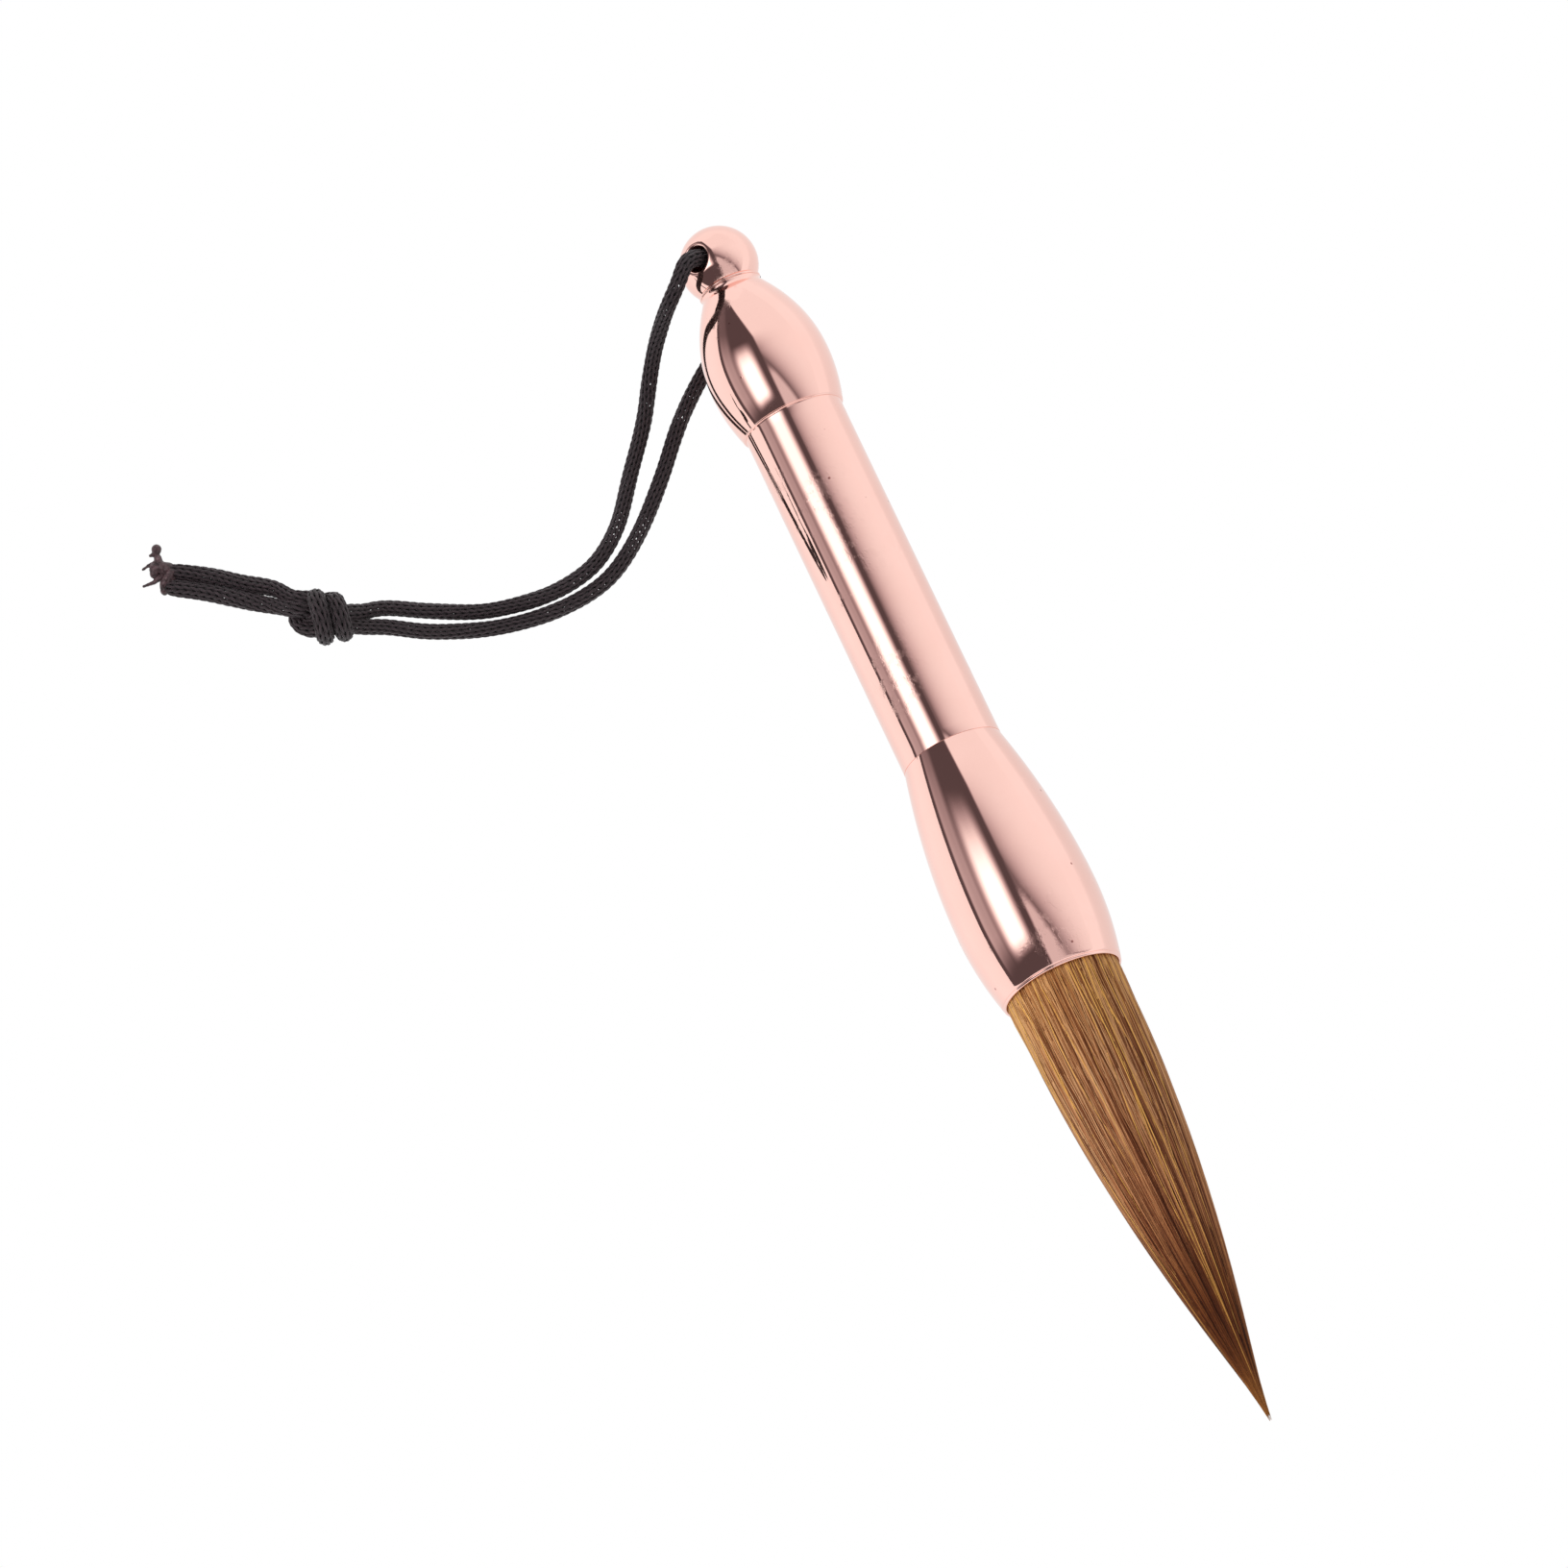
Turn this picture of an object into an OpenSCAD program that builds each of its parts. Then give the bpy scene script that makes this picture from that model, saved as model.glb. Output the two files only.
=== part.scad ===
// Calligraphy brush: a hollow plated-metal handle, a pointed hair tuft and a braided hanging cord.
// The brush lies along Y with its tip towards -Y. Z = 0 is the surface that its widest ring lies on.

/* [Ball finial] */
// Radius of the ball at the top of the handle
ball_r = 3.44; // [3.3:0.02:3.6]
// Radius of the cross hole that the cord goes through
hole_r = 1.15; // [1.1:0.01:1.3]
// Lean of the cross hole from vertical, towards -X, in degrees
hole_lean = 39.5; // [39:0.5:40]
// Tilt of the cross hole's upper end towards the top of the brush, in degrees
hole_tilt = 9; // [8.5:0.5:9.5]

/* [Handle] */
// Length of the egg-shaped cap
cap_len = 13.7; // [13:0.1:15]
// Widest radius of the cap
cap_r = 5.47; // [5.2:0.01:5.6]
// Length of the straight stem
stem_len = 33.6; // [25:0.1:60]
// Outer radius of the stem where the cap ends
stem_top_r = 4.48; // [4.4:0.01:4.55]
// Outer radius of the stem where the grip starts
stem_low_r = 4.55; // [4.5:0.01:4.6]
// Inner radius of the stem tube
stem_bore_r = 3.6; // [3.4:0.05:3.8]
// Length of the flared grip
grip_len = 23.35; // [22:0.05:26]
// Widest radius of the grip
grip_r = 6.5; // [6.3:0.05:6.8]

/* [Hair] */
// Length of hair that shows beyond the mouth of the grip
hair_len = 43.7; // [38:0.1:50]
// Radius of the hair where it leaves the mouth
hair_r = 5.05; // [4.9:0.01:5.1]

/* [Cord] */
// Diameter of the braided cord
cord_d = 1.4; // [1.2:0.05:1.4]

/* [Hidden] */

$fn = 96;
// Stations along the axis, measured from the top of the ball towards the tip
s_cap = 5.65;
s_stem = s_cap + cap_len;
s_grip = s_stem + stem_len;
s_mouth = s_grip + grip_len;
s_tip = s_mouth + hair_len;
ball_centre = [0, s_tip / 2 - ball_r, grip_r];
fit_gap = 0.05;       // radial clearance of a screwed joint
seam_bevel = 0.06;    // bevel that shows as a fine line at each seam
curve_steps = 14;     // straight facets along each curved outline

metal_c = [0.85, 0.58, 0.50];
inner_metal_c = [0.72, 0.56, 0.34];
resin_c = [0.55, 0.38, 0.18];
hair_c = [0.38, 0.20, 0.09];
root_c = [0.62, 0.38, 0.16];
thread_c = [0.86, 0.80, 0.68];
cord_c = [0.13, 0.09, 0.09];

// Threaded stud under the ball
stud_r = 1.25;
stud_end = 10;
ball_rim = 0.5;       // depth of the countersink at each end of the cross hole
ball_rim_flare = 0.4; // how much wider the countersink is than the hole

// Cap outline: two curves that meet at the widest ring, under a small lip
s_cap_wide = 14.3;
s_lip_end = 6.4;
cap_wall = 0.6;
cap_floor = 7.4;      // the cap is solid above this station
cap_socket_r = 3.9;
cap_socket_top = 14;

// Grip outline and bore
s_grip_wide = s_mouth - 7.8;
grip_socket_r = 3.9;
grip_socket_end = s_grip + 6;
grip_chamber_r = 5.15;
mouth_lip_r = 0.17;   // radius of the bead rolled round the mouth

coupling_wall = 1.1;
coupling_reach = 5;   // how far a coupling goes into the stem

// Hair: the root is glued into the grip, and the tuft bends about its domed end
root_r = 4.6;
s_pivot = s_mouth + 3.7;
s_root_top = s_mouth - 14;
s_resin_top = s_mouth - 15.5;
resin_len = 6;
joint_gap = 0.6;      // room between the domed root and the tuft's hollow
core_r = 2.4;         // radius of the core in the thick part of the tuft
core_share = 0.6;     // the core's radius as a share of the tuft's where it leaves the mantle
core_gap = 0.05;      // clearance between core and mantle
mantle_start = 0.085; // where the mantle starts and ends along the tuft's curve
mantle_end = 0.69;
thread_r = 0.22;
thread_turns = 9;

// A bulging outline: the radius falls away from its widest ring as a power of the distance
function bulge(widest, fall, power, distance) = widest - fall * pow(distance, power);
function cap_outline(s) = s < s_cap_wide
  ? bulge(cap_r, 0.034, 2.1, s_cap_wide - s)
  : bulge(cap_r, 0.032, 2, s - s_cap_wide);
function grip_outline(s) = s < s_grip_wide
  ? bulge(grip_r, 0.0108, 1.9, s_grip_wide - s)
  : bulge(grip_r, 0.014, 2.07, s - s_grip_wide);
// Stations from one to another in even steps, both ends included
function stations(from, to, steps) = [for (i = [0:steps]) from + (to - from) * i / steps];

// The tuft's outline: one smooth curve from the mouth to the point
tuft_handles = [[hair_r, s_mouth], [5.15, s_mouth + 24.2], [0.35, s_mouth + 38.6], [0.1, s_tip]];
function tuft_point(t) =
  pow(1 - t, 3) * tuft_handles[0] + 3 * pow(1 - t, 2) * t * tuft_handles[1]
  + 3 * (1 - t) * pow(t, 2) * tuft_handles[2] + pow(t, 3) * tuft_handles[3];
// The core leaves the mantle here, as a radius and a station, and narrows to the point
core_exit = [core_share * tuft_point(mantle_end)[0], tuft_point(mantle_end)[1]];
s_core_narrows = s_mouth + 20;

// Cord route, relative to the ball's centre: up from the knot along the front leg, through the ball,
// then under the cap and along the back leg to the knot again
cord_route = [
  [-41.1, -14.4, -5.3], [-39, -15.1, -5.6], [-36.2, -16.4, -5.7], [-33.5, -17.8, -5.7],
  [-30.7, -19, -5.7], [-27.8, -19.7, -5.5], [-25, -20, -5.3], [-22.6, -19.8, -5.2],
  [-20.3, -19.1, -5.2], [-18.4, -17.9, -5.2], [-16.8, -16.4, -5.2], [-15.2, -14.3, -5.4],
  [-13.6, -12.1, -5.6], [-11.9, -9.9, -5.7], [-10.5, -7.9, -5.7], [-9.4, -6.1, -5.2],
  [-8.6, -4.9, -4.3], [-7.9, -4, -3], [-7.3, -3.4, -1.6], [-6.7, -2.9, -0.2],
  [-6.1, -2.5, 1.4], [-5.2, -1.9, 2.8], [-4.1, -0.9, 3.3], [-3.1, 0.1, 3.3],
  [-2.1, 0.5, 2.6], [0, 0, 0], [1.7, -0.4, -2], [2.5, -0.8, -3.1],
  [2.7, -1.3, -4.2], [2.2, -2.1, -5.2], [0.9, -3.1, -5.7], [-1.1, -4.4, -5.7],
  [-3.3, -5.8, -5.7], [-5.4, -7.4, -5.7], [-7.4, -9.2, -5.7], [-9.2, -11.1, -5.7],
  [-10.9, -13.1, -5.7], [-12.8, -15.2, -5.7], [-15, -17.4, -5.7], [-17.2, -19.2, -5.7],
  [-19.6, -20.6, -5.7], [-22.2, -21.3, -5.7], [-25, -21.5, -5.7], [-27.8, -21.3, -5.7],
  [-30.8, -20.7, -5.7], [-33.7, -19.7, -5.7], [-36.5, -18.4, -5.7], [-39.2, -16.8, -5.7],
  [-40.6, -15.9, -5.6]
];
tail_a_route = [
  [-44.2, -11.8, -4.9], [-46.2, -10.1, -5.3], [-48.2, -8.5, -5.7], [-50.2, -7, -5.7],
  [-52.3, -5.6, -5.7], [-54.2, -4.5, -5.7]
];
tail_b_route = [
  [-45.2, -13, -5], [-47.3, -11.1, -5.5], [-49.4, -9.5, -5.7], [-51.4, -8, -5.7],
  [-53.2, -6.8, -5.7], [-54.8, -5.8, -5.7]
];
cord_sides = 8;
knot_lobe_r = 1.25;
// Lobes of the knot's outer shape
knot_lobes = [
  [-42.3, -12.9, -4.5], [-43.4, -16, -4.8], [-44.9, -13.2, -4.5], [-42.2, -15.4, -5.1],
  [-43.4, -14, -3.7], [-44.2, -14.8, -5.1]
];

// Local Z runs down the brush from the top of the ball
module along_axis() {
  translate([0, s_tip / 2, grip_r]) rotate([90, 0, 0]) children();
}

module turned(outline) {
  along_axis() rotate_extrude() polygon(outline);
}

// A solid tube with a ring of corners at each point of its route
module swept_tube(route, radius) {
  last = len(route) - 1;
  corners = [
    for (i = [0:last])
      let (
        run = route[min(i + 1, last)] - route[max(i - 1, 0)],
        side = cross(run, [0, 1, 0]) / norm(cross(run, [0, 1, 0])),
        lift = cross(run, side) / norm(run)
      )
      for (j = [0:cord_sides - 1])
        route[i] + radius * (cos(360 * j / cord_sides) * side + sin(360 * j / cord_sides) * lift)
  ];
  walls = [
    for (i = [0:last - 1], j = [0:cord_sides - 1])
      let (a = i * cord_sides + j, b = i * cord_sides + (j + 1) % cord_sides)
      each [[a, b, b + cord_sides], [a, b + cord_sides, a + cord_sides]]
  ];
  near_end = [for (j = [cord_sides - 1:-1:0]) j];
  far_end = [for (j = [0:cord_sides - 1]) last * cord_sides + j];
  translate(ball_centre) polyhedron(corners, concat([near_end], walls, [far_end]));
}

// A rounded nub between two points near the cord's end
module nub(from, from_r, to, to_r) {
  translate(ball_centre) hull() {
    translate(from) sphere(from_r, $fn = 16);
    translate(to) sphere(to_r, $fn = 16);
  }
}

module cross_hole() {
  translate([0, 0, ball_r]) rotate([0, 0, hole_lean]) rotate([-90 - hole_tilt, 0, 0]) {
    translate([0, 0, -ball_r - 1]) cylinder(h = 2 * ball_r + 2, r = hole_r);
    for (turn = [0, 180]) rotate([turn, 0, 0])
      translate([0, 0, ball_r - ball_rim])
        cylinder(h = 2 * ball_rim, r1 = hole_r, r2 = hole_r + 2 * ball_rim_flare);
  }
}

// Drilled ball on a threaded stud, seated on the cap
module finial_ball() {
  color(metal_c) along_axis() difference() {
    union() {
      intersection() {
        translate([0, 0, ball_r]) sphere(ball_r);
        cylinder(h = s_cap, r = ball_r + 1);
      }
      translate([0, 0, s_cap - 0.5]) cylinder(h = stud_end - s_cap + 0.5, r = stud_r);
    }
    cross_hole();
  }
}

// Hollow egg-shaped cap with a thin lip under the ball and a socket for the coupling
module cap_shell() {
  lip = [[stud_r + fit_gap, s_cap], [2.7, s_cap], [2.8, 5.75], [2.86, 5.95]];
  outside = [
    for (s = stations(s_lip_end, s_cap_wide, curve_steps)) [cap_outline(s), s],
    for (s = stations(s_cap_wide, s_stem - seam_bevel, curve_steps)) [cap_outline(s), s],
    [cap_outline(s_stem) - seam_bevel, s_stem]
  ];
  inside = [
    [cap_socket_r, s_stem], [cap_socket_r, cap_socket_top],
    for (s = stations(cap_socket_top - 0.5, cap_floor + 1.5, 6)) [cap_outline(s) - cap_wall - 0.7, s],
    [stud_r + fit_gap, cap_floor + 1.5]
  ];
  color(metal_c) turned(concat(lip, outside, inside));
}

// Hollow screw plug: one end in a socket of the cap or grip, the other end in the stem
module coupling(s_from, s_joint, s_to, r_from, r_to) {
  turned([
    [r_from - coupling_wall, s_from], [r_from, s_from], [r_from, s_joint], [r_to, s_joint],
    [r_to, s_to], [r_from - coupling_wall, s_to]
  ]);
}

module cap_coupling() {
  color(inner_metal_c)
    coupling(cap_socket_top + 0.3, s_stem, s_stem + coupling_reach,
      cap_socket_r - fit_gap, stem_bore_r - fit_gap);
}

module stem_tube() {
  color(metal_c) turned([
    [stem_bore_r, s_stem], [stem_top_r - seam_bevel, s_stem], [stem_top_r, s_stem + seam_bevel],
    [stem_low_r, s_grip - seam_bevel], [stem_low_r - seam_bevel, s_grip], [stem_bore_r, s_grip]
  ]);
}

module grip_coupling() {
  socket_r = grip_socket_r - fit_gap;
  stem_r = stem_bore_r - fit_gap;
  color(inner_metal_c) turned([
    [stem_r - coupling_wall, s_grip - coupling_reach], [stem_r, s_grip - coupling_reach],
    [stem_r, s_grip], [socket_r, s_grip], [socket_r, grip_socket_end - 0.5],
    [stem_r - coupling_wall, grip_socket_end - 0.5]
  ]);
}

// Flared grip: a socket for the coupling at the top, and a chamber that holds the hair
module grip_shell() {
  outside = [
    [grip_outline(s_grip) - seam_bevel, s_grip],
    for (s = stations(s_grip + seam_bevel, s_grip_wide, curve_steps)) [grip_outline(s), s],
    for (s = stations(s_grip_wide, s_mouth - 2 * mouth_lip_r, curve_steps)) [grip_outline(s), s]
  ];
  lip_centre = [grip_outline(s_mouth) - mouth_lip_r, s_mouth - mouth_lip_r];
  lip = [for (a = [0:30:180]) lip_centre + mouth_lip_r * [cos(a), sin(a)]];
  inside = [
    [grip_chamber_r, s_mouth - 2 * mouth_lip_r], [grip_chamber_r, s_resin_top],
    [grip_socket_r, s_resin_top - 0.6], [grip_socket_r, s_grip]
  ];
  color(metal_c) turned(concat(outside, lip, inside));
}

// Hardened resin that fills the bottom of the chamber and grips the hair's glued root
module resin_plug() {
  fill_r = grip_chamber_r - fit_gap;
  color(resin_c) turned([
    [0, s_resin_top], [fill_r, s_resin_top], [fill_r, s_resin_top + resin_len],
    [root_r, s_resin_top + resin_len], [root_r, s_root_top], [0, s_root_top]
  ]);
}

// Glued bundle of hair roots with a domed end that the tuft bends over
module hair_root() {
  dome = [for (a = [0:10:80]) [root_r * cos(a), s_pivot + root_r * sin(a)]];
  color(root_c) turned(concat(
    [[0, s_root_top], [root_r, s_root_top]], dome, [[0, s_pivot + root_r]]));
}

// Thread wound round the root in side-by-side turns
module root_binding() {
  color(thread_c) along_axis() for (i = [0:thread_turns - 1])
    translate([0, 0, s_resin_top + resin_len + thread_r + 0.2 + i * 2.1 * thread_r])
      rotate_extrude() translate([root_r + thread_r, 0]) circle(thread_r, $fn = 24);
}

// Stiffer middle hairs, which run on past the mantle to make the fine point
module hair_core() {
  s_start = s_pivot + root_r + joint_gap;
  color(hair_c) turned([
    [0, s_start], [core_r, s_start], [core_r, s_core_narrows], core_exit,
    [tuft_handles[3][0], s_tip], [0, s_tip]
  ]);
}

// Outer coat of hair round the core, hollowed at its start to bend over the domed root
module hair_mantle() {
  outside = [for (t = stations(mantle_start, mantle_end, curve_steps)) tuft_point(t)];
  s_end = core_exit[1];
  color(hair_c) difference() {
    turned(concat([[0, outside[0][1]]], outside, [[0, s_end]]));
    along_axis() translate([0, 0, s_pivot]) sphere(root_r + joint_gap);
    turned([
      [0, s_pivot], [core_r + core_gap, s_pivot], [core_r + core_gap, s_core_narrows],
      [core_exit[0] + core_gap, s_end], [core_exit[0] + core_gap, s_end + 1], [0, s_end + 1]
    ]);
  }
}

// Hanging loop: both legs of the cord and its run through the ball
module cord_loop() {
  color(cord_c) swept_tube(cord_route, cord_d / 2);
}

// Outer shape of the double overhand knot
module cord_knot() {
  color(cord_c) translate(ball_centre) hull()
    for (lobe = knot_lobes) translate(lobe) sphere(knot_lobe_r, $fn = 20);
}

module cord_tail_a() {
  color(cord_c) swept_tube(tail_a_route, cord_d / 2);
}

module cord_tail_b() {
  color(cord_c) swept_tube(tail_b_route, cord_d / 2);
}

// Melted end of the upper tail, with its bent nub
module cord_end_a() {
  color(cord_c) {
    nub([-54.3, -4.4, -5.6], 0.65, [-54.5, -2.7, -5.4], 0.42);
    nub([-54.5, -4.3, -5.7], 0.6, [-55.8, -3.5, -5.8], 0.3);
  }
}

// Melted end of the lower tail
module cord_end_b() {
  color(cord_c) {
    nub([-54.9, -5.8, -5.7], 0.65, [-55.3, -6.1, -5.7], 0.6);
    nub([-55.2, -5.7, -5.8], 0.5, [-56.4, -4.8, -6], 0.28);
  }
}

finial_ball();
cap_shell();
cap_coupling();
stem_tube();
grip_coupling();
grip_shell();
resin_plug();
hair_root();
root_binding();
hair_core();
hair_mantle();
cord_loop();
cord_knot();
cord_tail_a();
cord_tail_b();
cord_end_a();
cord_end_b();
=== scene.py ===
import math

import bmesh
import bpy
import numpy as np
from mathutils import Matrix, Vector


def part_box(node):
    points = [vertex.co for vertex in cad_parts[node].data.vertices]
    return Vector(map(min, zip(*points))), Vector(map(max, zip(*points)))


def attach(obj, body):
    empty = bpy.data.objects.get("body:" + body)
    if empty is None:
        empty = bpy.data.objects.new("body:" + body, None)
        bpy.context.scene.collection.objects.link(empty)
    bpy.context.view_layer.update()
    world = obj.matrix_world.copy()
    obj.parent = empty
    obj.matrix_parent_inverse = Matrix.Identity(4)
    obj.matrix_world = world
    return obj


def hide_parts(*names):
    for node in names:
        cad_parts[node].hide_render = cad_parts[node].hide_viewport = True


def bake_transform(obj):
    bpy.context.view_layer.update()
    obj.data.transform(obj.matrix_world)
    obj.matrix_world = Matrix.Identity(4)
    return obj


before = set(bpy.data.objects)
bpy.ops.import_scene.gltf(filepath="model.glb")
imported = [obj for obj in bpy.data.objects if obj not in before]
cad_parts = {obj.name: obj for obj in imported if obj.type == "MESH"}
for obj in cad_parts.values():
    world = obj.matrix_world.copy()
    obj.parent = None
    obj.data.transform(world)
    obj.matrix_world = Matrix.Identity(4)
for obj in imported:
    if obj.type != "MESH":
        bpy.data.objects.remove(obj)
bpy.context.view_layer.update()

MM = 0.001
RNG = np.random.default_rng(41)

# ---------------------------------------------------------------- places from the frame
BALL_LO, BALL_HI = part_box("finial_ball")
STEM_LO, STEM_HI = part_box("stem_tube")
GRIP_LO, GRIP_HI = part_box("grip_shell")
AXIS_Z = (STEM_LO.z + STEM_HI.z) / 2
TOP_Y = BALL_HI.y
BALL_R = (BALL_HI.z - BALL_LO.z) / 2 / MM
BALL_CENTRE = Vector((0, TOP_Y - BALL_R * MM, AXIS_Z))


def station_of(y):
    """Millimetres along the brush from the top of the ball."""
    return (TOP_Y - y) / MM


S_CAP = station_of(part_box("cap_shell")[1].y)
S_STEM = station_of(STEM_HI.y)
S_GRIP = station_of(GRIP_HI.y)
S_MOUTH = station_of(GRIP_LO.y)
S_TIP = station_of(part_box("hair_core")[0].y)
S_ROOT = station_of(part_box("hair_root")[1].y)

# ---------------------------------------------------------------- camera
CAMERA_AZIMUTH = math.radians(-24.0)
CAMERA_ELEVATION = math.radians(69.1)
CAMERA_DISTANCE = 6.0
CAMERA_LENS = 1595
CAMERA_AIM = (5.61 * MM, -44.81 * MM)  # from the ball's centre, rightwards and upwards in view


def make_camera():
    ce, se = math.cos(CAMERA_ELEVATION), math.sin(CAMERA_ELEVATION)
    ca, sa = math.cos(CAMERA_AZIMUTH), math.sin(CAMERA_AZIMUTH)
    back = Vector((sa * ce, -ca * ce, se))
    right = Vector((ca, sa, 0))
    up = back.cross(right)
    data = bpy.data.cameras.new("camera")
    data.lens = CAMERA_LENS
    data.sensor_width = 36
    data.clip_start, data.clip_end = 0.05, 20
    cam = bpy.data.objects.new("camera", data)
    bpy.context.scene.collection.objects.link(cam)
    aim = BALL_CENTRE + right * CAMERA_AIM[0] + up * CAMERA_AIM[1]
    cam.matrix_world = Matrix((right, up, back)).transposed().to_4x4()
    cam.location = aim + back * CAMERA_DISTANCE
    bpy.context.scene.camera = cam


make_camera()


# ---------------------------------------------------------------- mesh helpers
def new_object(name, verts, faces, smooth=True, uv=None, caps=()):
    """A mesh object from points and a table of faces, with a second table for the caps on open ends."""
    mesh = bpy.data.meshes.new(name)
    verts = np.asarray(verts, np.float32)
    tables = [np.asarray(table, np.int32) for table in (faces, caps) if len(table)]
    corners = np.concatenate([table.ravel() for table in tables])
    sizes = np.concatenate([np.full(len(table), table.shape[1]) for table in tables])
    mesh.vertices.add(len(verts))
    mesh.vertices.foreach_set("co", verts.ravel())
    mesh.loops.add(len(corners))
    mesh.loops.foreach_set("vertex_index", corners)
    mesh.polygons.add(len(sizes))
    mesh.polygons.foreach_set("loop_start", (np.cumsum(sizes) - sizes).astype(np.int32))
    mesh.polygons.foreach_set("use_smooth", np.full(len(sizes), smooth))
    if uv is not None:
        layer = mesh.uv_layers.new(name="UVMap")
        layer.uv.foreach_set("vector", np.asarray(uv, np.float32)[corners].ravel())
    mesh.update(calc_edges=True)
    mesh.validate()
    obj = bpy.data.objects.new(name, mesh)
    bpy.context.scene.collection.objects.link(obj)
    return obj


def set_vertex_colour(obj, name, rgb):
    attribute = obj.data.color_attributes.new(name, "FLOAT_COLOR", "POINT")
    rgba = np.ones((len(rgb), 4), np.float32)
    rgba[:, :3] = rgb
    attribute.data.foreach_set("color", rgba.ravel())


def clean_mesh(obj, sharp_angle=None):
    """Welds poles, points the faces outwards and marks edges sharper than the angle."""
    bm = bmesh.new()
    bm.from_mesh(obj.data)
    bmesh.ops.remove_doubles(bm, verts=bm.verts, dist=1e-8)
    bmesh.ops.recalc_face_normals(bm, faces=bm.faces)
    bm.to_mesh(obj.data)
    bm.free()
    if sharp_angle is not None:
        obj.data.set_sharp_from_angle(angle=math.radians(sharp_angle))


def lathe(name, outline, segments=256, sharp_angle=35):
    """Turns a closed outline of (station, radius) in millimetres about the brush's axis."""
    outline = np.array(outline, float)
    n = len(outline)
    turn = np.arange(segments) * 2 * math.pi / segments
    ring = np.stack([np.cos(turn), np.sin(turn)], 1)
    verts = np.zeros((n, segments, 3))
    verts[:, :, 0] = outline[:, 1, None] * MM * ring[None, :, 0]
    verts[:, :, 1] = (TOP_Y - outline[:, 0] * MM)[:, None]
    verts[:, :, 2] = AXIS_Z + outline[:, 1, None] * MM * ring[None, :, 1]
    i, j = np.meshgrid(np.arange(n), np.arange(segments), indexing="ij")
    i2, j2 = (i + 1) % n, (j + 1) % segments
    faces = np.stack([i * segments + j, i2 * segments + j, i2 * segments + j2, i * segments + j2], -1)
    obj = new_object(name, verts.reshape(-1, 3), faces.reshape(-1, 4))
    clean_mesh(obj, sharp_angle)
    return obj


def steps(start, end, count):
    return [start + (end - start) * i / count for i in range(count + 1)]


def arc(centre_s, centre_r, radius, from_deg, to_deg, count=8):
    """Points of (station, radius) along an arc; 0 degrees points outwards and 90 along the brush."""
    return [
        (centre_s + radius * math.sin(math.radians(a)), centre_r + radius * math.cos(math.radians(a)))
        for a in steps(from_deg, to_deg, count)
    ]


SPLINE_FINENESS = 4    # points worked out on a spline for each one kept


def lengths_along(path):
    """The length of a path up to each of its points."""
    return np.r_[0, np.cumsum(np.linalg.norm(np.diff(path, axis=0), axis=1))]


def spline(points, step):
    """Points in millimetres every step along a natural cubic spline through the given ones."""
    points = np.array(points, float)
    place = lengths_along(points)
    count, gap = len(points), np.diff(place)
    matrix, known = np.zeros((count, count)), np.zeros((count, 3))
    matrix[0, 0] = matrix[-1, -1] = 1
    for k in range(1, count - 1):
        matrix[k, k - 1 : k + 2] = gap[k - 1], 2 * (gap[k - 1] + gap[k]), gap[k]
        known[k] = 6 * ((points[k + 1] - points[k]) / gap[k] - (points[k] - points[k - 1]) / gap[k - 1])
    bend = np.linalg.solve(matrix, known)
    at = np.linspace(0, place[-1], int(place[-1] / step * SPLINE_FINENESS))
    k = np.clip(np.searchsorted(place, at, side="right") - 1, 0, count - 2)
    past, left, width = (at - place[k])[:, None], (place[k + 1] - at)[:, None], gap[k][:, None]
    fine = (
        bend[k] * left**3 / (6 * width) + bend[k + 1] * past**3 / (6 * width)
        + (points[k] / width - bend[k] * width / 6) * left
        + (points[k + 1] / width - bend[k + 1] * width / 6) * past
    )
    run = lengths_along(fine)
    even = np.linspace(0, run[-1], int(run[-1] / step) + 1)
    return np.stack([np.interp(even, run, fine[:, axis]) for axis in range(3)], 1)


# A cord comes to rest with the same side up; this is that side's direction
CORD_FACE = np.array([-0.15, -0.33, 0.93])
FACE_PULL = 0.06    # how much of it each step along the cord takes on


def frames_along(path):
    """Unit tangents and two normals at each point of a path, which turn slowly towards the cord's face."""
    tangent = np.gradient(path, axis=0)
    tangent /= np.linalg.norm(tangent, axis=1)[:, None]
    normal = np.zeros_like(path)
    before = CORD_FACE
    for k in range(len(path)):
        turned = before + FACE_PULL * CORD_FACE
        turned = turned - tangent[k] * (turned @ tangent[k])
        normal[k] = before = turned / np.linalg.norm(turned)
    return tangent, normal, np.cross(tangent, normal)


# ---------------------------------------------------------------- cord
CORD_D = 1.4
# Routes in millimetres from the ball's centre, starting inside its cross hole
FRONT_LEG = [
    (0, 0, 0), (-2.1, 0.5, 2.6), (-3.1, 0.1, 3.3), (-4.1, -0.9, 3.3), (-5.2, -1.9, 2.8), (-6.1, -2.5, 1.4),
    (-6.7, -2.9, -0.2), (-7.3, -3.4, -1.6), (-7.9, -4, -3), (-8.6, -4.9, -4.3), (-9.4, -6.1, -5.2),
    (-10.5, -7.9, -5.7), (-11.9, -9.9, -5.7), (-13.6, -12.1, -5.6), (-15.2, -14.3, -5.4),
    (-16.8, -16.4, -5.2), (-18.4, -17.9, -5.2), (-20.3, -19.1, -5.2), (-22.6, -19.8, -5.2),
    (-25, -20, -5.3), (-27.8, -19.7, -5.5), (-30.7, -19, -5.7), (-33.5, -17.8, -5.7),
    (-36.2, -16.4, -5.7), (-39, -15.1, -5.6),
]
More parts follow.
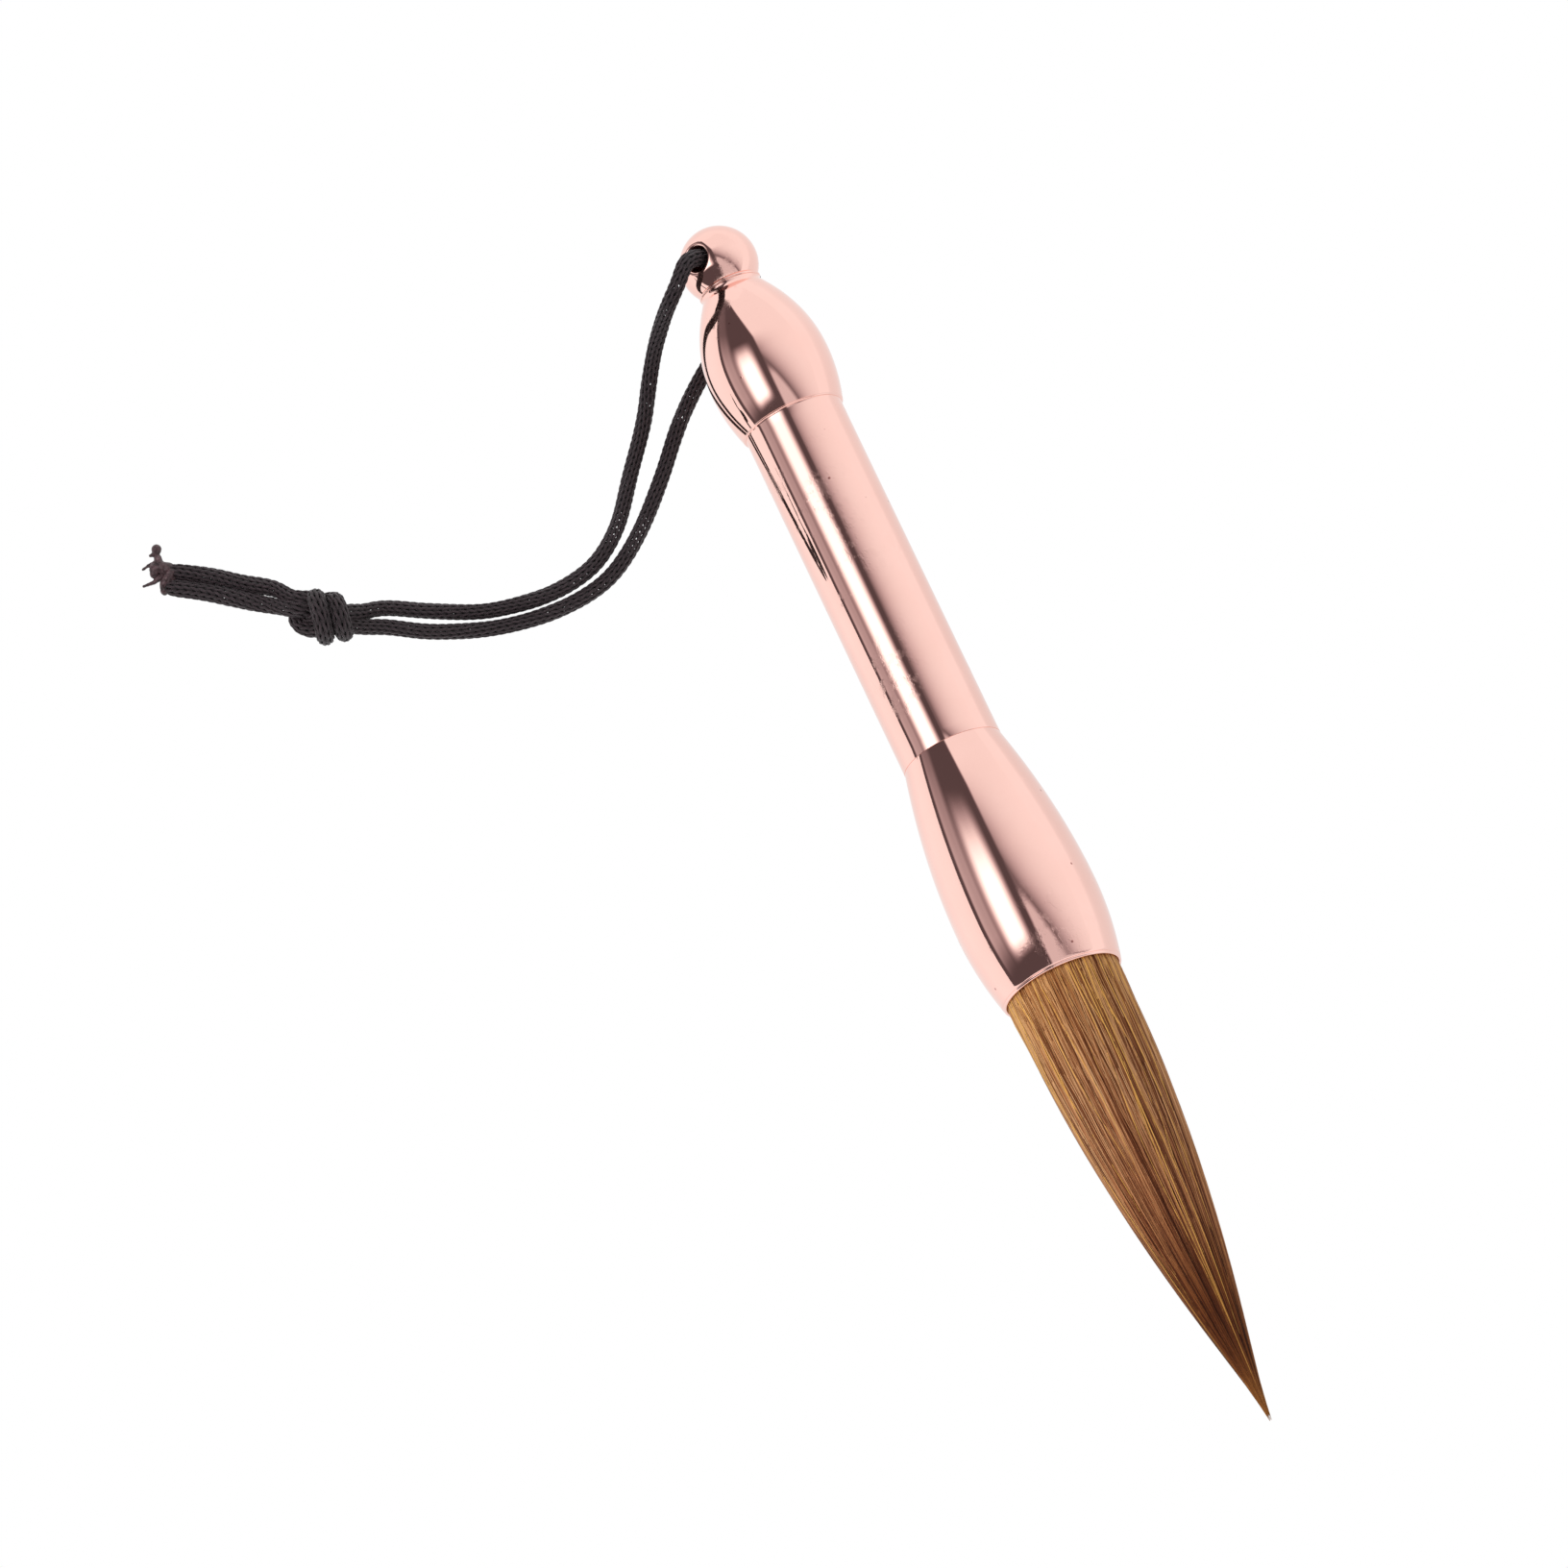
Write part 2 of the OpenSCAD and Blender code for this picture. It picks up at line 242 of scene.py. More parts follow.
BACK_LEG = [
    (0, 0, 0), (1.7, -0.4, -2), (2.5, -0.8, -3.1), (2.7, -1.3, -4.2), (2.2, -2.1, -5.2), (0.9, -3.1, -5.7),
    (-1.1, -4.4, -5.7), (-3.3, -5.8, -5.7), (-5.4, -7.4, -5.7), (-7.4, -9.2, -5.7), (-9.2, -11.1, -5.7),
    (-10.9, -13.1, -5.7), (-12.8, -15.2, -5.7), (-15, -17.4, -5.7), (-17.2, -19.2, -5.7),
    (-19.6, -20.6, -5.7), (-22.2, -21.3, -5.7), (-25, -21.5, -5.7), (-27.8, -21.3, -5.7),
    (-30.8, -20.7, -5.7), (-33.7, -19.7, -5.7), (-36.5, -18.4, -5.7), (-39.2, -16.8, -5.7),
]
TAIL_A = [
    (-46.2, -10.1, -5.3), (-48.2, -8.5, -5.7), (-50.2, -7, -5.7), (-52.3, -5.6, -5.7), (-54.2, -4.5, -5.7),
]
TAIL_B = [
    (-47.3, -11.1, -5.5), (-49.4, -9.5, -5.7), (-51.4, -8, -5.7), (-53.2, -6.8, -5.7), (-54.8, -5.8, -5.7),
]

# The knot's points have directions of their own: towards the loop, across it on the table, and up
KNOT_CENTRE = (-43.6, -14.0)       # in the ball's own X and Y, from its centre
KNOT_WRAP_MIDDLE = (-0.44, 2.4)    # across and up


def knot_wrap(radius, along, from_deg, to_deg):
    """The turn that goes over the knot's front from its far side to its near side, and on underneath."""
    return [
        (a, KNOT_WRAP_MIDDLE[0] + radius * math.cos(t), KNOT_WRAP_MIDDLE[1] + radius * math.sin(t))
        for a, t in zip(along, map(math.radians, steps(from_deg, to_deg, len(along) - 1)))
    ]


KNOT_A = (
    [(3.2, 0.4, 1.3), (1.8, 0, 2.1), (0.5, -0.2, 2.2), (-0.6, -0.3, 1.8), (-1.2, 0, 1.4), (-1.1, 0.6, 1.4),
     (-0.4, 1.0, 1.8)]
    + knot_wrap(1.4, (0.9, 1.1, 1.38, 1.62, 1.82, 1.82, 1.6, 1.15), 10, 290)
    + [(0.4, 0.8, 1.5), (-0.6, 1.05, 2.1), (-1.5, 1.2, 2.3), (-2.6, 1.5, 2.0)]
)
KNOT_B = (
    [(3.4, -0.9, 1.2), (1.8, -1.0, 1.8), (0.4, -1.1, 1.7), (-0.8, -1.1, 1.3), (-1.8, -0.7, 1.0),
     (-2.25, 0.1, 0.9), (-1.9, 0.9, 1.2), (-1.3, 1.3, 1.8)]
    + knot_wrap(1.7, (-0.75, -0.6, -0.4, -0.1, 0.1, 0.2, 0.1, -0.2), 0, 280)
    + [(-0.6, 0.5, 1.3), (-1.1, 0.5, 1.9), (-1.9, 0.4, 2.2), (-3.0, 0.6, 1.8)]
)


def knot_from_ball(points):
    """The knot's points from its own directions to millimetres from the ball's centre."""
    to_loop = np.array([math.cos(CAMERA_AZIMUTH), math.sin(CAMERA_AZIMUTH), 0])
    across = np.array([-to_loop[1], to_loop[0], 0])
    on_table = np.array([*KNOT_CENTRE, -AXIS_Z / MM])
    return [tuple(on_table + a * to_loop + b * across + np.array([0, 0, c])) for a, b, c in points]


WALES = 6                # columns of stitches round the cord
COURSE = 0.70            # length of cord that one round of stitches makes
STITCH_SAMPLES = 14      # points along the yarn in each stitch
YARN_WIDTH = 0.25
YARN_THICKNESS = 0.19
YARN_SIDES = 5
STITCH_RISE = 0.60       # half the height of a stitch, which reaches into its neighbours
STITCH_SWAY = 0.115      # sideways sway that gives each stitch its V shape
STITCH_DEPTH = 0.06      # how far the sides of a stitch stand out from its ends
CORD_STEP = 0.13         # length between the points of a cord's path


def knit(name, path, radius):
    """A knitted tube: one yarn goes round the path in V-shaped stitches, in millimetres from the ball."""
    _, normal, binormal = frames_along(path)
    run = np.arange(len(path)) * CORD_STEP
    tube_r = CORD_D / 2 - YARN_THICKNESS / 2 - STITCH_DEPTH
    stitches = int(WALES * run[-1] / COURSE)
    turn = np.arange(stitches * STITCH_SAMPLES + 1) * 2 * math.pi / STITCH_SAMPLES
    at = COURSE * turn / (2 * math.pi * WALES) + STITCH_RISE * np.cos(turn)
    at = np.clip(at, 0, run[-1])
    # The columns of stitches wander slowly round the cord
    wander = 0.3 * np.sin(at / 6.1) + 0.25 * np.sin(at / 2.3 + 1)
    angle = (turn + math.pi) / WALES + STITCH_SWAY / tube_r * np.sin(2 * turn) + wander

    def along_path(values):
        return np.stack([np.interp(at, run, values[:, axis]) for axis in range(3)], 1)

    outward = np.cos(angle)[:, None] * along_path(normal) + np.sin(angle)[:, None] * along_path(binormal)
    outward /= np.linalg.norm(outward, axis=1)[:, None]
    share = np.interp(at, run, radius) / (CORD_D / 2)
    reach = (tube_r - STITCH_DEPTH * np.cos(2 * turn)) * share
    centre = along_path(path) + outward * reach[:, None]
    along = np.gradient(centre, axis=0)
    along /= np.linalg.norm(along, axis=1)[:, None] + 1e-9
    across = np.cross(along, outward)
    across /= np.linalg.norm(across, axis=1)[:, None] + 1e-9
    ring = []
    for side in range(YARN_SIDES):
        a = 2 * math.pi * side / YARN_SIDES
        ring.append(
            centre + across * (YARN_WIDTH / 2 * math.cos(a) * share)[:, None]
            + outward * YARN_THICKNESS / 2 * math.sin(a)
        )
    verts = np.stack(ring, 1).reshape(-1, 3) * MM + np.array(BALL_CENTRE)
    k, s = np.meshgrid(np.arange(len(turn) - 1), np.arange(YARN_SIDES), indexing="ij")
    s2 = (s + 1) % YARN_SIDES
    faces = np.stack(
        [k * YARN_SIDES + s, k * YARN_SIDES + s2, (k + 1) * YARN_SIDES + s2, (k + 1) * YARN_SIDES + s], -1
    ).reshape(-1, 4)
    across_uv = np.abs(np.arange(YARN_SIDES) / YARN_SIDES * 2 - 1)
    uv = np.stack(np.broadcast_arrays(across_uv[None, :], (turn / WALES)[:, None]), -1).reshape(-1, 2)
    around = np.arange(YARN_SIDES)
    caps = [around[::-1], (len(turn) - 1) * YARN_SIDES + around]
    piece = new_object(name, verts, faces, uv=uv, caps=caps)
    # Painted shade and light: yarn is lighter where it faces outwards and where its stitch stands out, and
    # darker in the valleys between stitches
    facing_out = 0.5 + 0.5 * np.sin(2 * math.pi * np.arange(YARN_SIDES) / YARN_SIDES)
    stands_out = 0.62 - 0.38 * np.cos(2 * turn)
    light = (facing_out[None, :] * stands_out[:, None]).reshape(-1, 1)
    set_vertex_colour(piece, "depth", np.repeat(light, 3, axis=1))
    return piece


def cord_radius(path, knot_points):
    """Full size in the loop, fuller by the ball, in the knot and in the tails, which narrow at their ends."""
    from_ball = np.arange(len(path)) * CORD_STEP
    from_end = from_ball[-1] - from_ball
    from_knot = np.linalg.norm(path - np.array(knot_points).mean(axis=0), axis=1)
    radius = np.full(len(path), CORD_D / 2 + 0.02)
    for fuller, distance, reach, fade in (
        (0.14, from_ball, 6.5, 3), (0.18, from_knot, 3.4, 1.2), (0.13, from_end, 10, 2),
    ):
        radius *= 1 + fuller * np.clip((reach - distance) / fade, 0, 1)
    radius *= 1 - 0.30 * np.clip(1 - from_end / 1.2, 0, 1) ** 2
    return radius


CORDS = {}
for cord_name, leg, knot, tail in (
    ("cord_front", FRONT_LEG, KNOT_A, TAIL_A),
    ("cord_back", BACK_LEG, KNOT_B, TAIL_B),
):
    knot_points = knot_from_ball(knot)
    path = spline([*leg, *knot_points, *tail], CORD_STEP)
    piece = CORDS[cord_name] = knit(cord_name, path, cord_radius(path, knot_points))
    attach(piece, "cord")
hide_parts("cord_loop", "cord_knot", "cord_tail_a")
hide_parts("cord_tail_b")

BLOB_STEP = 0.12               # length between the balls that a blob is made of
BLOB_SIZES = (0.86, 1.12)      # they vary between these shares of the blob's radius
WELD_SIZE = 0.055              # size of the grid that welds the blobs into one surface


def melted_end(name, node, blobs):
    """Lumps and prongs of molten cord as one welded mesh: each blob runs from point to point."""
    bm = bmesh.new()
    for start, start_r, end, end_r in blobs:
        start, end = Vector(start) * MM, Vector(end) * MM
        count = max(3, int((end - start).length / (BLOB_STEP * MM)))
        for share in (k / count for k in range(count + 1)):
            radius = (start_r + (end_r - start_r) * share) * RNG.uniform(*BLOB_SIZES) * MM
            place = Matrix.Translation(BALL_CENTRE + start.lerp(end, share))
            bmesh.ops.create_icosphere(bm, subdivisions=2, radius=radius, matrix=place)
    mesh = bpy.data.meshes.new(name)
    bm.to_mesh(mesh)
    bm.free()
    obj = bpy.data.objects.new(name, mesh)
    bpy.context.scene.collection.objects.link(obj)
    remesh = obj.modifiers.new("weld", "REMESH")
    remesh.mode, remesh.voxel_size = "VOXEL", WELD_SIZE * MM
    smooth = obj.modifiers.new("smooth", "SMOOTH")
    smooth.factor, smooth.iterations = 0.5, 5
    bpy.context.view_layer.update()
    evaluated = obj.evaluated_get(bpy.context.evaluated_depsgraph_get())
    final = bpy.data.meshes.new_from_object(evaluated)
    obj.modifiers.clear()
    obj.data = final
    final.name = name
    for polygon in final.polygons:
        polygon.use_smooth = True
    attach(obj, "cord")
    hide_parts(node)
    return obj


END_A = [
    ((-54.0, -4.4, -5.7), 0.60, (-54.6, -3.9, -5.65), 0.52),
    ((-54.5, -3.6, -5.6), 0.42, (-54.4, -3.0, -5.5), 0.31),
    ((-54.3, -2.6, -5.4), 0.36, (-54.22, -2.4, -5.35), 0.42),
    ((-54.5, -2.7, -5.5), 0.25, (-54.9, -2.64, -5.6), 0.17),
    ((-54.7, -3.4, -5.7), 0.26, (-55.4, -3.35, -5.8), 0.16),
    ((-55.4, -3.35, -5.8), 0.16, (-55.97, -3.45, -5.9), 0.13),
    ((-55.0, -3.8, -5.7), 0.45, (-55.29, -4.3, -5.75), 0.40),
    ((-54.8, -4.8, -5.8), 0.30, (-55.6, -4.9, -5.95), 0.19),
    ((-55.6, -4.9, -5.95), 0.19, (-56.5, -4.84, -6.05), 0.13),
]
END_B = [
    ((-54.2, -5.2, -5.6), 0.55, (-54.84, -5.58, -5.6), 0.50),
    ((-54.84, -5.6, -5.7), 0.45, (-55.1, -6.15, -5.8), 0.36),
    ((-53.9, -4.9, -5.3), 0.38, (-54.5, -5.3, -5.3), 0.40),
]
END_PIECES = [
    melted_end("cord_end_upper", "cord_end_a", END_A),
    melted_end("cord_end_lower", "cord_end_b", END_B),
]


# ---------------------------------------------------------------- handle shells
def bulge(widest, fall, power, distance):
    """Radius at a distance from the widest place of a shell."""
    return widest - fall * distance**power


# Stations and radii of the widest places of cap and grip
CAP_WIDE = 14.3
CAP_R = (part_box("cap_shell")[1].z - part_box("cap_shell")[0].z) / 2 / MM
GRIP_WIDE = S_MOUTH - 7.8
GRIP_R = (GRIP_HI.z - GRIP_LO.z) / 2 / MM


def cap_radius(s):
    if s < CAP_WIDE:
        return bulge(CAP_R, 0.034, 2.1, CAP_WIDE - s)
    return bulge(CAP_R, 0.032, 2, s - CAP_WIDE)


def grip_radius(s):
    if s < GRIP_WIDE:
        return bulge(GRIP_R, 0.0108, 1.9, GRIP_WIDE - s)
    return bulge(GRIP_R, 0.014, 2.07, s - GRIP_WIDE)


EDGE_R = 0.02          # rounding of the edges that meet at the grip's seam
CAP_EDGE_R = 0.13      # and of the cap's edge, which stands proud of the stem
STEM_FLARE = 0.14      # length of the stem's flare where it meets the cap
STUD_R = 1.25
STUD_HOLE_R = STUD_R + 0.05
CAP_LIP_R, CAP_LIP_ROUND = 2.72, 0.12
CAP_TOP = 6.42         # where the cap's egg shape starts, under its neck
CAP_WALL = 1.3
CAP_SOCKET_R, CAP_SOCKET_TOP, CAP_FLOOR = 3.9, 14.0, 8.9
STEM_TOP_R, STEM_LOW_R, STEM_BORE_R = 4.48, 4.55, 3.6
GRIP_SOCKET_R, GRIP_CHAMBER_R, S_CHAMBER = 3.9, 5.15, S_MOUTH - 15.5
LIP_BEAD_R = 0.17


def make_cap():
    lip = [(S_CAP, STUD_HOLE_R), (S_CAP, CAP_LIP_R - CAP_LIP_ROUND)]
    lip += arc(S_CAP + CAP_LIP_ROUND, CAP_LIP_R, CAP_LIP_ROUND, -90, 80, 9)
    neck = [(S_CAP + 0.33, 2.76), (S_CAP + 0.45, 2.74), (S_CAP + 0.58, 2.77)]
    outside = [(s, cap_radius(s)) for s in steps(CAP_TOP, S_STEM - CAP_EDGE_R, 110)]
    edge = arc(S_STEM - CAP_EDGE_R, cap_radius(S_STEM) - CAP_EDGE_R, CAP_EDGE_R, 10, 90, 8)
    socket = [(S_STEM, CAP_SOCKET_R), (CAP_SOCKET_TOP, CAP_SOCKET_R)]
    hollow = [(s, cap_radius(s) - CAP_WALL) for s in steps(CAP_SOCKET_TOP - 0.5, CAP_FLOOR, 10)]
    return lathe("cap", lip + neck + outside + edge + socket + hollow + [(CAP_FLOOR, STUD_HOLE_R)])


def make_stem():
    rise = cap_radius(S_STEM) - CAP_EDGE_R - 0.01 - STEM_TOP_R
    top = [(S_STEM + STEM_FLARE * share, STEM_TOP_R + rise * (1 + math.cos(math.pi * share)) / 2)
           for share in steps(0, 1, 8)]
    low = arc(S_GRIP - EDGE_R, STEM_LOW_R - EDGE_R, EDGE_R, 0, 90, 5)
    run = [(s, STEM_TOP_R + (STEM_LOW_R - STEM_TOP_R) * (s - S_STEM) / (S_GRIP - S_STEM))
           for s in steps(S_STEM + 1, S_GRIP - 1, 40)]
    return lathe("stem", [(S_STEM, STEM_BORE_R)] + top + run + low + [(S_GRIP, STEM_BORE_R)])


def make_grip():
    top = arc(S_GRIP + EDGE_R, grip_radius(S_GRIP) - EDGE_R, EDGE_R, -90, -10, 5)
    outside = [(s, grip_radius(s)) for s in steps(S_GRIP + EDGE_R, S_MOUTH - 2.2 * LIP_BEAD_R, 150)]
    bead = arc(S_MOUTH - LIP_BEAD_R, grip_radius(S_MOUTH) - LIP_BEAD_R + 0.03, LIP_BEAD_R, -40, 200, 16)
    inside = [(S_MOUTH - 2.4 * LIP_BEAD_R, GRIP_CHAMBER_R), (S_CHAMBER, GRIP_CHAMBER_R),
              (S_CHAMBER - 0.6, GRIP_SOCKET_R), (S_GRIP, GRIP_SOCKET_R)]
    return lathe("grip", top + outside + bead + inside)


HOLE_R = 1.15
HOLE_LEAN, HOLE_TILT = math.radians(39.5), math.radians(9)
HOLE_AXIS = Vector((-math.sin(HOLE_LEAN) * math.cos(HOLE_TILT), math.sin(HOLE_TILT),
                    math.cos(HOLE_LEAN) * math.cos(HOLE_TILT)))
HOLE_ROUND = 0.24      # radius of the rounded rim of the cross hole


def make_ball():
    """The ball is turned about its cross hole, cut flat where it sits on the cap, and set in place."""
    rim_r = HOLE_R + HOLE_ROUND
    rim_up = math.sqrt((BALL_R - HOLE_ROUND) ** 2 - rim_r**2)
    tilt = math.degrees(math.atan2(rim_up, rim_r))
    half = [(rim_r + HOLE_ROUND * math.cos(math.radians(a)), rim_up + HOLE_ROUND * math.sin(math.radians(a)))
            for a in steps(180, tilt, 14)]
    outer = [(BALL_R * math.cos(math.radians(a)), BALL_R * math.sin(math.radians(a)))
             for a in steps(tilt, -tilt, 120)]
    low = [(r, -z) for r, z in reversed(half)]
    wall = [(HOLE_R, z) for z in steps(low[-1][1], half[0][1], 12)][1:-1]
    ring = half + outer[1:-1] + low + wall
    segments, n = 200, len(ring)
    verts, faces = [], []
    for r, z in ring:
        for j in range(segments):
            a = 2 * math.pi * j / segments
            verts.append((r * math.cos(a), r * math.sin(a), z))
    for i in range(n):
        for j in range(segments):
            i2, j2 = (i + 1) % n, (j + 1) % segments
            faces.append((i * segments + j, i * segments + j2, i2 * segments + j2, i2 * segments + j))
    turn = Vector((0, 0, 1)).rotation_difference(HOLE_AXIS).to_matrix()
    verts = [tuple(BALL_CENTRE + turn @ Vector(v) * MM) for v in verts]
    obj = new_object("ball", verts, faces)
    bm = bmesh.new()
    bm.from_mesh(obj.data)
    seat = Vector((0, TOP_Y - S_CAP * MM, AXIS_Z))
    cut = bmesh.ops.bisect_plane(bm, geom=bm.verts[:] + bm.edges[:] + bm.faces[:], plane_co=seat,
                                 plane_no=(0, 1, 0), clear_inner=True)
    bmesh.ops.holes_fill(bm, edges=[e for e in cut["geom_cut"] if isinstance(e, bmesh.types.BMEdge)])
    bmesh.ops.recalc_face_normals(bm, faces=bm.faces)
    bm.to_mesh(obj.data)
    bm.free()
    # The bore of the hole has a material of its own: rougher metal, darkened as painted shade for the dim
    # inside of the hole
    for polygon in obj.data.polygons:
        polygon.use_smooth = True
        aside = (polygon.center - BALL_CENTRE).cross(HOLE_AXIS).length
        polygon.material_index = int(aside < (HOLE_R + 0.03) * MM)
    obj.data.set_sharp_from_angle(angle=math.radians(35))
    return obj


def make_stud():
    """The finial's stud with its thread as fine ridges."""
    pitch, depth, end = 0.4, 0.12, 10.0
    ridges = []
    s = S_CAP + 0.4
    while s < end - pitch:
        ridges += [(s, STUD_R - depth), (s + pitch * 0.4, STUD_R), (s + pitch * 0.6, STUD_R)]
        s += pitch
    outline = [(S_CAP, 0), (S_CAP, STUD_R - depth)] + ridges + [(end, STUD_R - 0.3), (end, 0)]
    return lathe("stud", outline, 64, 25)


BALL, STUD, CAP, STEM, GRIP = make_ball(), make_stud(), make_cap(), make_stem(), make_grip()
for piece, cad_node in (
    (BALL, "finial_ball"), (CAP, "cap_shell"), (STEM, "stem_tube"), (GRIP, "grip_shell"),
):
    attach(piece, "handle")
    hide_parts(cad_node)
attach(STUD, "handle")


# ---------------------------------------------------------------- hair
HAIR_MOUTH_R = 5.05
# Bezier handles of the tuft's outline, each a station and a radius
HAIR_HANDLES = np.array([
    [S_MOUTH, HAIR_MOUTH_R], [S_MOUTH + 24.2, 5.15], [S_MOUTH + 38.6, 0.35], [S_TIP, 0.1],
])


def hair_curve(count):
    """Points of (station, radius) along the tuft's outline."""
    t = np.linspace(0, 1, count)[:, None]
    h = HAIR_HANDLES
    return (1 - t) ** 3 * h[0] + 3 * (1 - t) ** 2 * t * h[1] + 3 * (1 - t) * t**2 * h[2] + t**3 * h[3]


HAIR_CURVE = hair_curve(400)


def hair_radius(s):
    return np.interp(s, HAIR_CURVE[:, 0], HAIR_CURVE[:, 1])


# Hair colours at shares of the length that shows: the usual hair, and the lighter and darker ones
HAIR_STOPS = (0, 0.25, 0.5, 0.7, 0.84, 0.93, 1)
HAIR_USUAL = ((0.48, 0.180, 0.048), (0.50, 0.186, 0.070), (0.37, 0.117, 0.043), (0.170, 0.041, 0.013),
              (0.140, 0.034, 0.012), (0.42, 0.140, 0.036), (0.74, 0.34, 0.085))
HAIR_LIGHT = ((0.88, 0.47, 0.19), (0.92, 0.51, 0.25), (0.84, 0.40, 0.17), (0.52, 0.185, 0.05),
              (0.42, 0.13, 0.030), (0.52, 0.19, 0.04), (0.82, 0.42, 0.10))
HAIR_DARK = ((0.17, 0.046, 0.012), (0.15, 0.040, 0.013), (0.095, 0.023, 0.008), (0.038, 0.009, 0.004),
             (0.028, 0.007, 0.003), (0.10, 0.025, 0.007), (0.42, 0.13, 0.025))
HAIR_GOLD = (1.0, 0.53, 0.12)


def hair_colour(s, tone):
    """Hair colour at stations s, for tones from -1, the darkest, to 1, the lightest."""
    share = np.clip((s - S_MOUTH) / (S_TIP - S_MOUTH), 0, 1)

    def along(table):
        return np.stack([np.interp(share, HAIR_STOPS, column) for column in zip(*table)], -1)

    light, dark = np.clip(tone, 0, 1)[..., None], np.clip(-tone, 0, 1)[..., None]
    usual = along(HAIR_USUAL)
    return usual + light * (along(HAIR_LIGHT) - usual) + dark * (along(HAIR_DARK) - usual)


HAIR_COUNT = 2200
HAIR_RINGS = 15
HAIR_SIDES = 3
CLUMPS = 46
CLUMP_PULL = 0.62      # how far the hairs are drawn into their clumps at the tip
CLUMP_GROOVE = 0.05    # depth of the grooves between the clumps, as a share of the radius
STRAY = 0.05           # how far single hairs turn aside by the tip, in radians
LIFT = 0.012           # how far they stand off halfway, as a share of the radius
MOUTH_SWELL = 0.13     # how much the hairs swell at the mouth, to fill the grip
HAIR_STARTS = (0.6, 2.0)    # how far inside the mouth they start
HAIR_TAPER = 0.85      # how much of their width they lose by the end
GROOVE_PAINTED_SHADE = 0.9     # painted shade: how much darker in tone hairs are between two clumps, at the tip
GOLD_SHARE = 0.8       # how golden the golden hairs are
COAT_SHADING = 0.6     # how far the shading normals of the hairs turn to the tuft's own surface
LOCK_TONE = np.random.default_rng(5).normal(0, 0.42, 130)    # streaks of like hairs round the tuft


def round_off(obj, outward, s):
    """Turns the shading normals towards the tuft's own surface, so that fine hairs shade as one coat."""
    slope = np.gradient(HAIR_CURVE[:, 1], HAIR_CURVE[:, 0])
    surface = outward.copy()
    surface[..., 1] = np.interp(s, HAIR_CURVE[:, 0], slope)
    surface /= np.linalg.norm(surface, axis=-1)[..., None]
    surface = np.repeat(surface.reshape(-1, 3), HAIR_SIDES, axis=0)
    own = np.zeros(len(obj.data.vertices) * 3, np.float32)
    obj.data.vertices.foreach_get("normal", own)
    normal = own.reshape(-1, 3) * (1 - COAT_SHADING) + surface * COAT_SHADING
    normal /= np.linalg.norm(normal, axis=1)[:, None]
    obj.data.normals_split_custom_set_from_vertices(normal.tolist())


def strand_object(name, centre, outward, sideways, thick):
    """A closed tube round each hair's middle line, which is in millimetres from the top of the ball."""
    ring = []
    for side in range(HAIR_SIDES):
        a = 2 * math.pi * side / HAIR_SIDES + math.pi / 2
        ring.append(centre + (outward * math.sin(a) + sideways * math.cos(a)) * thick[..., None] / 2)
    verts = np.stack(ring, 2) * MM + np.array([0, TOP_Y, AXIS_Z])
    count, n = len(centre), HAIR_RINGS * HAIR_SIDES
    i, j, k = np.meshgrid(np.arange(count), np.arange(HAIR_RINGS - 1), np.arange(HAIR_SIDES), indexing="ij")
    k2 = (k + 1) % HAIR_SIDES
    faces = np.stack([
        i * n + j * HAIR_SIDES + k, i * n + (j + 1) * HAIR_SIDES + k,
        i * n + (j + 1) * HAIR_SIDES + k2, i * n + j * HAIR_SIDES + k2], -1).reshape(-1, 4)
    around = np.arange(count)[:, None] * n + np.arange(HAIR_SIDES)
    caps = np.concatenate([around, around[:, ::-1] + n - HAIR_SIDES])
    return new_object(name, verts.reshape(-1, 3), faces, caps=caps)


